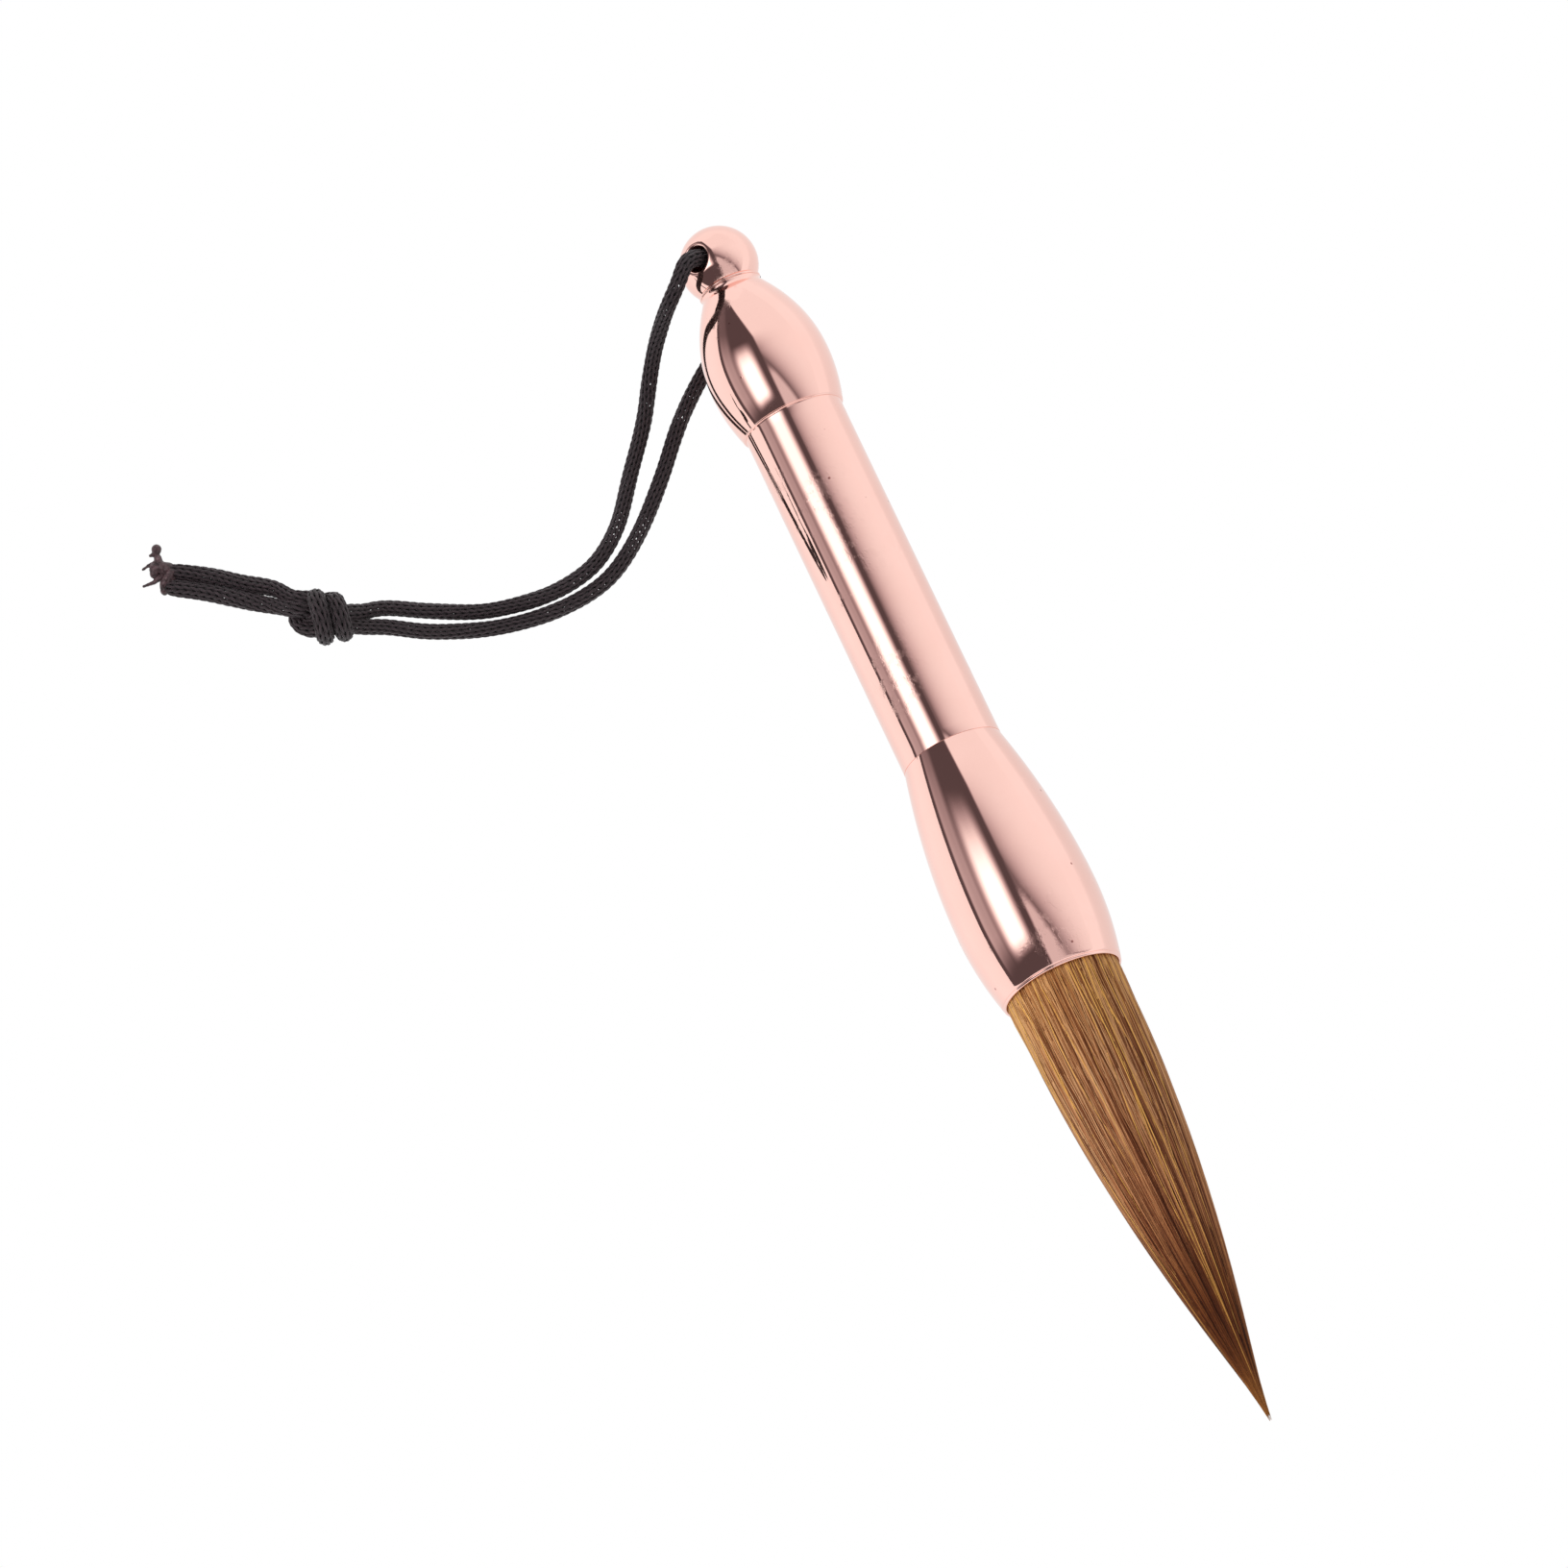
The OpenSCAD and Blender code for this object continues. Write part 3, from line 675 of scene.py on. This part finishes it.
def make_strands(name, count, seed, depth, width, length_range, tone_range, wave=0.018, gold=False):
    """Separate tapered hairs that lie along the tuft's surface, gathered into soft clumps."""
    rng = np.random.default_rng(seed)
    phi0 = rng.uniform(0, 2 * math.pi, count)
    clump = np.floor(phi0 / (2 * math.pi) * CLUMPS)
    clump_phi = (clump + 0.5 + 0.3 * np.sin(clump * 7.3)) / CLUMPS * 2 * math.pi
    off_middle = np.minimum(np.abs(phi0 - clump_phi) / (math.pi / CLUMPS), 1.5)[:, None]

    # Stations along each hair, from inside the mouth to its end
    start = S_MOUTH - rng.uniform(*HAIR_STARTS, count)
    end = S_MOUTH + rng.uniform(*length_range, count) ** 0.7 * (S_TIP - S_MOUTH)
    t = np.linspace(0, 1, HAIR_RINGS)[None, :]
    s = start[:, None] + (end - start)[:, None] * t
    share = np.clip((s - S_MOUTH) / (S_TIP - S_MOUTH), 0, 1)

    # Angles round the tuft and distances from its axis
    gather = CLUMP_PULL * share**1.1
    drift = rng.normal(0, STRAY, count)[:, None] * share
    wobble = wave * np.sin(t * rng.uniform(3, 9, count)[:, None] + rng.uniform(0, 6, count)[:, None])
    phi = phi0[:, None] * (1 - gather) + clump_phi[:, None] * gather + drift + wobble
    groove = 1 - CLUMP_GROOVE * off_middle**2 * share**0.7
    lift = 1 + LIFT * np.sin(t * math.pi) * rng.normal(0, 1, count)[:, None]
    r = hair_radius(s) * rng.uniform(*depth, count)[:, None] * groove * lift
    r = np.where(s < S_MOUTH, np.minimum(r, HAIR_MOUTH_R), r)
    r = r + MOUTH_SWELL * np.clip(1.5 - np.abs(s - S_MOUTH) / 1.6, 0, 1)

    thick = rng.uniform(*width, count)[:, None] * (1 - HAIR_TAPER * t**3)
    outward = np.stack([np.cos(phi), np.zeros_like(phi), np.sin(phi)], -1)
    sideways = np.stack([-np.sin(phi), np.zeros_like(phi), np.cos(phi)], -1)
    centre = outward * r[..., None]
    centre[..., 1] = -s
    obj = strand_object(name, centre, outward, sideways, thick)

    # Clumps and locks differ in tone, and hairs between two clumps are darker towards the tip as painted
    # shade in the grooves
    lock = (phi0 / (2 * math.pi) * len(LOCK_TONE)).astype(int)
    clump_tone = 0.14 * np.sin(clump * 2.4) + 0.10 * np.sin(clump * 5.1 + 1)
    tone = np.clip(rng.uniform(*tone_range, count) + clump_tone + LOCK_TONE[lock], -1, 1)[:, None]
    colour = hair_colour(s, np.maximum(tone - GROOVE_PAINTED_SHADE * share * off_middle**2, -1))
    if gold:
        colour = colour * (1 - GOLD_SHARE) + np.array(HAIR_GOLD) * GOLD_SHARE
    set_vertex_colour(obj, "hair", np.repeat(colour.reshape(-1, 3), HAIR_SIDES, axis=0))
    round_off(obj, outward, s)
    return obj


ROOT_R = 4.6
BODY_SHARE = 0.93      # the hair body's radius as a share of the tuft's


def make_hair_body():
    """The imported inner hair: a rounded glued root inside the grip, and the tapered middle of the tuft."""
    root = [(S_ROOT, 0), (S_ROOT, ROOT_R - 0.15)]
    root += [(s, ROOT_R) for s in steps(S_ROOT + 0.3, S_MOUTH - 1.5, 10)]
    run = [(s, float(hair_radius(s)) * BODY_SHARE) for s in steps(S_MOUTH - 0.5, S_TIP - 0.8, 120)]
    obj = lathe("hair_body", root + run + [(S_TIP - 0.6, 0)], 192, None)
    places = np.array([vertex.co for vertex in obj.data.vertices])
    s = station_of(places[:, 1])
    phi = np.arctan2(places[:, 2] - AXIS_Z, places[:, 0])
    streak = np.sin(phi * 23) * 0.4 + np.sin(phi * 61 + 1.0) * 0.4 + np.sin(phi * 9 + 0.5) * 0.4
    set_vertex_colour(obj, "hair", hair_colour(s, np.clip(streak - 0.5, -1, 1)))
    return obj


HAIR_PIECES = [
    make_hair_body(),
    make_strands("hair_under", HAIR_COUNT * 2 // 3, 7, (0.93, 0.965), (0.07, 0.11), (0.6, 1.0), (-1.2, 0.1)),
    make_strands("hair_coat", HAIR_COUNT, 8, (0.955, 1.0), (0.05, 0.10), (0.35, 0.985), (-1.5, 1.0)),
    make_strands("hair_overcoat", HAIR_COUNT, 10, (0.955, 1.0), (0.05, 0.10), (0.35, 0.985), (-1.5, 1.0)),
    make_strands("hair_pale", 560, 9, (0.985, 1.012), (0.05, 0.09), (0.25, 0.9), (0.4, 1.0), wave=0.045),
    make_strands("hair_gold", 58, 12, (1.0, 1.018), (0.07, 0.14), (0.3, 0.9), (0.6, 1.0), wave=0.075,
                 gold=True),
]
# Each hair piece's placement is baked into its mesh
for piece in HAIR_PIECES:
    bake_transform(piece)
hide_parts("hair_core", "hair_mantle", "hair_root")


# ---------------------------------------------------------------- materials
def material(name):
    mat = bpy.data.materials.new(name)
    mat.use_nodes = True
    nodes = mat.node_tree.nodes
    return mat, nodes, mat.node_tree.links, nodes["Principled BSDF"]


def node(nodes, kind, **inputs):
    made = nodes.new(kind)
    for key, value in inputs.items():
        if key in made.inputs:
            made.inputs[key].default_value = value
        else:
            setattr(made, key, value)
    return made


BLACK, WHITE = (0, 0, 0), (1, 1, 1)


def ramp(nodes, stops):
    made = nodes.new("ShaderNodeValToRGB")
    elements = made.color_ramp.elements
    while len(elements) < len(stops):
        elements.new(0.5)
    for element, (place, colour) in zip(elements, stops):
        element.position = place
        element.color = (*colour, 1)
    return made


class Shade:
    """Builds arithmetic on sockets out of nodes, for shaders and lights that follow a formula."""

    def __init__(self, tree):
        self.nodes, self.links = tree.nodes, tree.links

    def plug(self, socket, value):
        if isinstance(value, (int, float)):
            socket.default_value = value
        else:
            self.links.new(value, socket)

    def maths(self, operation, a, b=0.0):
        made = self.nodes.new("ShaderNodeMath")
        made.operation = operation
        self.plug(made.inputs[0], a)
        self.plug(made.inputs[1], b)
        return made.outputs[0]

    def product(self, *values):
        total = values[0]
        for value in values[1:]:
            total = self.maths("MULTIPLY", total, value)
        return total

    def fade(self, value, start, end, low=0.0, high=1.0):
        """Smoothly from low at start to high at end."""
        made = self.nodes.new("ShaderNodeMapRange")
        made.interpolation_type = "SMOOTHSTEP"
        self.plug(made.inputs["Value"], value)
        for key, amount in (("From Min", start), ("From Max", end), ("To Min", low), ("To Max", high)):
            self.plug(made.inputs[key], amount)
        return made.outputs[0]

    def blend(self, share, a, b):
        return self.maths("ADD", a, self.product(share, self.maths("SUBTRACT", b, a)))


def add_bump(nodes, links, shader, height, strength, distance):
    """Adds a bump to a shader, on top of those that it has."""
    bump = node(nodes, "ShaderNodeBump", Strength=strength, Distance=distance)
    links.new(height, bump.inputs["Height"])
    if shader.inputs["Normal"].is_linked:
        links.new(shader.inputs["Normal"].links[0].from_socket, bump.inputs["Normal"])
    links.new(bump.outputs["Normal"], shader.inputs["Normal"])


def plated_metal():
    """Mirror-polished rose-gold plate with polishing rings, fine scratches, scuffs and a few specks."""
    mat, nodes, links, shader = material("plated_metal")
    shader.inputs["Metallic"].default_value = 1
    coords = nodes.new("ShaderNodeTexCoord")

    def noise(stretch, scale, detail, roughness):
        mapping = node(nodes, "ShaderNodeMapping", Scale=stretch)
        made = node(nodes, "ShaderNodeTexNoise", Scale=scale, Detail=detail, Roughness=roughness)
        links.new(coords.outputs["Object"], mapping.inputs["Vector"])
        links.new(mapping.outputs["Vector"], made.inputs["Vector"])
        return made.outputs["Fac"]

    def linked_ramp(value, stops):
        made = ramp(nodes, stops)
        links.new(value, made.inputs["Fac"])
        return made.outputs["Color"]

    def mixed(blend, factor, a, b):
        made = node(nodes, "ShaderNodeMix", data_type="RGBA", blend_type=blend)
        made.inputs["Factor"].default_value = factor
        links.new(a, made.inputs["A"])
        links.new(b, made.inputs["B"])
        return made.outputs["Result"]

    patches = noise((1, 1, 1), 180, 5, 0.6)
    rings = noise((0.02, 1, 0.02), 3800, 3, 0.6)
    scratches = noise((1.0, 0.12, 1.0), 2600, 4, 0.65)
    wear = noise((1, 0.6, 1), 900, 5, 0.7)
    worn_area = linked_ramp(noise((1, 1, 1), 120, 2, 0.5), [(0.53, BLACK), (0.60, WHITE)])
    worn = mixed("MULTIPLY", 1, linked_ramp(wear, [(0.52, BLACK), (0.58, WHITE)]), worn_area)
    cells = node(nodes, "ShaderNodeTexVoronoi", Scale=420)
    links.new(coords.outputs["Object"], cells.inputs["Vector"])
    near = linked_ramp(cells.outputs["Distance"], [(0.035, WHITE), (0.06, BLACK)])
    chosen = linked_ramp(cells.outputs["Color"], [(0.62, BLACK), (0.64, WHITE)])
    specks = mixed("MULTIPLY", 1, near, chosen)
    plate = linked_ramp(patches, [(0.3, (0.94, 0.595, 0.525)), (0.7, (0.96, 0.62, 0.55))])
    speck_tone = linked_ramp(specks, [(0, WHITE), (1, (0.45, 0.32, 0.32))])
    links.new(mixed("MULTIPLY", 1, plate, speck_tone), shader.inputs["Base Color"])
    smooth = linked_ramp(patches, [(0.45, (0.035,) * 3), (0.75, (0.08,) * 3)])
    dull = linked_ramp(worn, [(0, BLACK), (1, (0.14,) * 3)])
    links.new(mixed("ADD", 1, smooth, dull), shader.inputs["Roughness"])
    for height, strength, distance in (
        (scratches, 0.03, 0.00002), (rings, 0.05, 0.000004), (worn, 0.3, 0.00001), (specks, 0.4, 0.00001),
    ):
        add_bump(nodes, links, shader, height, strength, distance)
    return mat


def hair_material():
    """Fine glossy hair: its colour comes from each hair, with a painted sheen that makes it paler where the
    coat turns away.
    """
    mat, nodes, links, shader = material("hair")
    colour = node(nodes, "ShaderNodeAttribute", attribute_name="hair")
    turned_away = node(nodes, "ShaderNodeLayerWeight", Blend=0.5)
    shade = Shade(mat.node_tree)
    # Painted sheen: the colour is mixed towards pale beige where the coat turns from view, standing in for
    # light through its edges
    painted_rim_sheen = shade.product(shade.maths("POWER", turned_away.outputs["Facing"], 3.2), 0.55)
    mix = node(nodes, "ShaderNodeMix", data_type="RGBA")
    links.new(painted_rim_sheen, mix.inputs["Factor"])
    links.new(colour.outputs["Color"], mix.inputs["A"])
    mix.inputs["B"].default_value = (0.70, 0.48, 0.31, 1)
    links.new(mix.outputs["Result"], shader.inputs["Base Color"])
    shader.inputs["Roughness"].default_value = 0.4
    shader.inputs["Specular IOR Level"].default_value = 0.14
    return mat


def cord_material():
    """Dark brown-black knitted yarn whose filaments catch a little light, with painted shade between its
    stitches.
    """
    mat, nodes, links, shader = material("cord")
    coords = nodes.new("ShaderNodeUVMap")
    stretch = nodes.new("ShaderNodeMapping")
    stretch.inputs["Scale"].default_value = (9.0, 0.9, 1.0)
    links.new(coords.outputs["UV"], stretch.inputs["Vector"])
    filaments = node(nodes, "ShaderNodeTexNoise", Scale=2.2, Detail=3, Roughness=0.6)
    links.new(stretch.outputs["Vector"], filaments.inputs["Vector"])
    tone = ramp(nodes, [
        (0.3, (0.014, 0.009, 0.011)), (0.5, (0.034, 0.022, 0.027)), (0.72, (0.095, 0.066, 0.074)),
    ])
    links.new(filaments.outputs["Fac"], tone.inputs["Fac"])
    # Painted shade and light from the 'depth' colour: darker in stitch valleys and on inward yarn sides,
    # lighter on the crests
    depth = node(nodes, "ShaderNodeAttribute", attribute_name="depth")
    shade = ramp(nodes, [
        (0.0, (0.05, 0.045, 0.045)), (0.45, (0.28, 0.26, 0.27)), (1.0, (1.1, 1.0, 1.03)),
    ])
    links.new(depth.outputs["Fac"], shade.inputs["Fac"])
    mix = node(nodes, "ShaderNodeMix", data_type="RGBA", blend_type="MULTIPLY")
    mix.inputs["Factor"].default_value = 1
    links.new(tone.outputs["Color"], mix.inputs["A"])
    links.new(shade.outputs["Color"], mix.inputs["B"])
    links.new(mix.outputs["Result"], shader.inputs["Base Color"])
    add_bump(nodes, links, shader, filaments.outputs["Fac"], 0.5, 0.00003)
    shader.inputs["Roughness"].default_value = 0.6
    shader.inputs["Sheen Weight"].default_value = 0.15
    shader.inputs["Sheen Roughness"].default_value = 0.35
    return mat


def mottled(name, tones, scale, rough, metallic=0.0, detail=5, bump=(0.3, 0.00003)):
    """A finish mottled by one noise, which also makes it uneven."""
    mat, nodes, links, shader = material(name)
    coords = nodes.new("ShaderNodeTexCoord")
    grain = node(nodes, "ShaderNodeTexNoise", Scale=scale, Detail=detail, Roughness=0.6)
    links.new(coords.outputs["Object"], grain.inputs["Vector"])
    tone = ramp(nodes, tones)
    links.new(grain.outputs["Fac"], tone.inputs["Fac"])
    links.new(tone.outputs["Color"], shader.inputs["Base Color"])
    add_bump(nodes, links, shader, grain.outputs["Fac"], *bump)
    shader.inputs["Roughness"].default_value = rough
    shader.inputs["Metallic"].default_value = metallic
    return mat


PLATED, HAIR, CORD = plated_metal(), hair_material(), cord_material()
# Cord melted into glossy reddish-brown lumps
MELTED = mottled(
    "melted_cord", [(0.35, (0.02, 0.011, 0.012)), (0.55, (0.07, 0.035, 0.04)), (0.75, (0.17, 0.10, 0.11))],
    2600, 0.38, detail=4, bump=(0.6, 0.00008),
)
BRASS = mottled("turned_brass", [(0.3, (0.62, 0.42, 0.20)), (0.7, (0.72, 0.52, 0.28))], 900, 0.28, 1.0)
# The bore is rougher metal, and its dark colour is painted shade for the inside of the hole
BORE = mottled("bore_painted_shade", [(0.3, (0.30, 0.07, 0.055)), (0.7, (0.45, 0.12, 0.09))], 1500, 0.45, 1.0)
RESIN = mottled("resin", [(0.3, (0.30, 0.15, 0.04)), (0.7, (0.42, 0.24, 0.08))], 600, 0.25)
THREAD = mottled("thread", [(0.3, (0.60, 0.52, 0.38)), (0.7, (0.80, 0.72, 0.58))], 4000, 0.7)


def give(obj, *mats):
    """Gives an object its materials; where there are several, each face keeps its place among them."""
    places = [polygon.material_index for polygon in obj.data.polygons]
    obj.data.materials.clear()
    for mat in mats:
        obj.data.materials.append(mat)
    if len(mats) > 1:
        obj.data.polygons.foreach_set("material_index", places)


give(BALL, PLATED, BORE)
for piece in (CAP, STEM, GRIP):
    give(piece, PLATED)
give(STUD, BRASS)
for piece in HAIR_PIECES:
    give(piece, HAIR)
for piece in CORDS.values():
    give(piece, CORD)
for piece in END_PIECES:
    give(piece, MELTED)
for name, mat, slot in (
    ("cap_coupling", BRASS, "inner_metal"), ("grip_coupling", BRASS, "inner_metal"),
    ("resin_plug", RESIN, "resin"), ("root_binding", THREAD, "thread"),
):
    give(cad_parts[name], mat)


# ---------------------------------------------------------------- stage and light
def glowing(name):
    """A material that only shines, with its shade, its glow node and the coordinates of each point."""
    mat = bpy.data.materials.new(name)
    mat.use_nodes = True
    mat.node_tree.nodes.clear()
    shade = Shade(mat.node_tree)
    coords = shade.nodes.new("ShaderNodeTexCoord")
    split = shade.nodes.new("ShaderNodeSeparateXYZ")
    shade.links.new(coords.outputs["Object"], split.inputs[0])
    glow = shade.nodes.new("ShaderNodeEmission")
    output = shade.nodes.new("ShaderNodeOutputMaterial")
    shade.links.new(glow.outputs[0], output.inputs["Surface"])
    return mat, shade, glow, split.outputs


def only_mirrored(obj):
    """Keeps a stage piece out of the picture and out of the diffuse light: it shows in reflections."""
    obj.visible_camera = False
    obj.visible_diffuse = False
    obj.visible_transmission = False
    obj.visible_shadow = False


FLOOR_DROP = 0.00002         # keeps the floor clear of what lies on the ground
SURROUND = 0.62              # brightness of floor and air in the diffuse light
SURROUND_MIRRORED = 1.07     # and in the handle's mirror


def make_floor():
    """The pale floor as the handle mirrors it: lighter to the left, and as light as the air far away."""
    half = 3.0
    floor = new_object("floor", [(-half, -half, 0), (half, -half, 0), (half, half, 0), (-half, half, 0)],
                       [(0, 1, 2, 3)], smooth=False)
    floor.location.z = -FLOOR_DROP
    mat, shade, glow, place = glowing("floor")
    x, y = place["X"], shade.maths("MAXIMUM", place["Y"], 0)
    away = shade.maths("POWER", shade.maths("ADD", shade.product(x, x), shade.product(y, y)), 0.5)
    near = shade.fade(x, 0.0, -0.02, 0.88, 1.12)
    mirrored = shade.blend(shade.fade(away, 0.012, 0.13), near, SURROUND_MIRRORED)
    path = shade.nodes.new("ShaderNodeLightPath")
    strength = shade.blend(path.outputs["Is Glossy Ray"], SURROUND, mirrored)
    shade.links.new(strength, glow.inputs["Strength"])
    give(floor, mat)
    floor.visible_camera = False


# The studio wall that the handle mirrors: part of a cylinder about the brush, light right of a dark
# panel with a soft window in it. Angles are degrees from straight up, positive towards +X.
WALL_R = 0.38
WALL_ANGLES = (-100, 70)
WALL_Y = (-0.45, 1.3)
WALL_COLUMNS = 86
WINDOW_MIDDLE = -43


def wall_brightness(shade, angle, y):
    """How brightly the wall shines at an angle and at a place along the brush."""
    window = shade.product(
        2.0, shade.fade(angle, -66, -47), shade.fade(angle, -17, -35),
        shade.fade(y, -0.03, 0.025), shade.fade(y, 0.30, 0.12),
    )
    # A dim strip beyond the window
    grey = shade.product(
        shade.fade(angle, -95, -72, 0.62, 0.40), shade.fade(angle, -58, -70), shade.fade(angle, -86, -82),
        shade.fade(y, -0.03, 0.06), shade.fade(y, 0.45, 0.14, 0.16, 1.0),
    )
    panel = shade.maths("ADD", shade.maths("ADD", 0.10, window), grey)
    # Light part: a gradient that starts at the panel, or lower down at a slanting dark fold
    fold = shade.maths("MAXIMUM", -12, shade.maths("SUBTRACT", 14, shade.product(y, 140)))
    beyond = shade.maths("MAXIMUM", 0, shade.maths("SUBTRACT", angle, fold))
    rise = shade.maths("EXPONENT", shade.product(beyond, -1 / 21))
    low = shade.maths("SUBTRACT", 1.08, shade.product(rise, 0.88))
    before = shade.fade(shade.maths("SUBTRACT", fold, angle), -1, 9)
    low = shade.blend(shade.product(before, shade.fade(y, 0.13, 0.06)), low, 0.74)
    light = shade.blend(shade.fade(y, 0.17, 0.36), low, 1.02)
    # Far beyond the ball, the edge between the two parts leans to the left
    beyond_ball = shade.maths("MAXIMUM", 0, shade.maths("SUBTRACT", y, 0.3))
    edge = shade.maths("SUBTRACT", -9, shade.product(beyond_ball, 40))
    across = shade.maths("SUBTRACT", angle, edge)
    return shade.blend(shade.fade(across, -2.5, 2.5), panel, light)


def make_wall():
    """The wall, whose darker parts shine a little pinker."""
    verts = []
    for angle in steps(*WALL_ANGLES, WALL_COLUMNS):
        turn = math.radians(angle)
        verts += [(WALL_R * math.sin(turn), y, AXIS_Z + WALL_R * math.cos(turn)) for y in WALL_Y]
    faces = [(2 * k, 2 * k + 1, 2 * k + 3, 2 * k + 2) for k in range(WALL_COLUMNS)]
    wall = new_object("studio_wall", verts, faces)
    mat, shade, glow, place = glowing("studio_wall")
    turn = shade.maths("ARCTAN2", place["X"], shade.maths("SUBTRACT", place["Z"], AXIS_Z))
    angle = shade.product(turn, 180 / math.pi)
    brightness = wall_brightness(shade, angle, place["Y"])
    shade.links.new(brightness, glow.inputs["Strength"])
    tint = shade.nodes.new("ShaderNodeMix")
    tint.data_type = "RGBA"
    tint.inputs["A"].default_value = (1.0, 0.78, 0.84, 1)
    tint.inputs["B"].default_value = (*WHITE, 1)
    shade.links.new(brightness, tint.inputs["Factor"])
    shade.links.new(tint.outputs["Result"], glow.inputs["Color"])
    give(wall, mat)
    only_mirrored(wall)


def make_window_light():
    """The window as a soft light for hair and cord."""
    data = bpy.data.lights.new("window_light", "AREA")
    data.shape, data.size, data.size_y, data.energy = "RECTANGLE", 0.22, 0.27, 0.55
    lamp = bpy.data.objects.new("window_light", data)
    bpy.context.scene.collection.objects.link(lamp)
    turn = math.radians(WINDOW_MIDDLE)
    lamp.location = (WALL_R * math.sin(turn), 0.13, AXIS_Z + WALL_R * math.cos(turn))
    aim = Vector((-math.sin(turn), -0.3, -math.cos(turn)))
    lamp.rotation_euler = aim.to_track_quat("-Z", "Y").to_euler()
    lamp.visible_glossy = False
    lamp.visible_camera = False


def make_world():
    """White behind the brush, brighter in its mirror than in the diffuse light."""
    world = bpy.data.worlds.new("studio")
    bpy.context.scene.world = world
    world.use_nodes = True
    world.node_tree.nodes.clear()
    shade = Shade(world.node_tree)
    path = shade.nodes.new("ShaderNodeLightPath")
    strength = shade.blend(path.outputs["Is Glossy Ray"], SURROUND, SURROUND_MIRRORED)
    strength = shade.blend(path.outputs["Is Camera Ray"], strength, 1.0)
    glow = shade.nodes.new("ShaderNodeBackground")
    glow.inputs["Color"].default_value = (*WHITE, 1)
    shade.links.new(strength, glow.inputs["Strength"])
    output = shade.nodes.new("ShaderNodeOutputWorld")
    shade.links.new(glow.outputs[0], output.inputs["Surface"])


make_floor()
make_wall()
make_window_light()
make_world()
bpy.context.scene.view_settings.view_transform = "Standard"
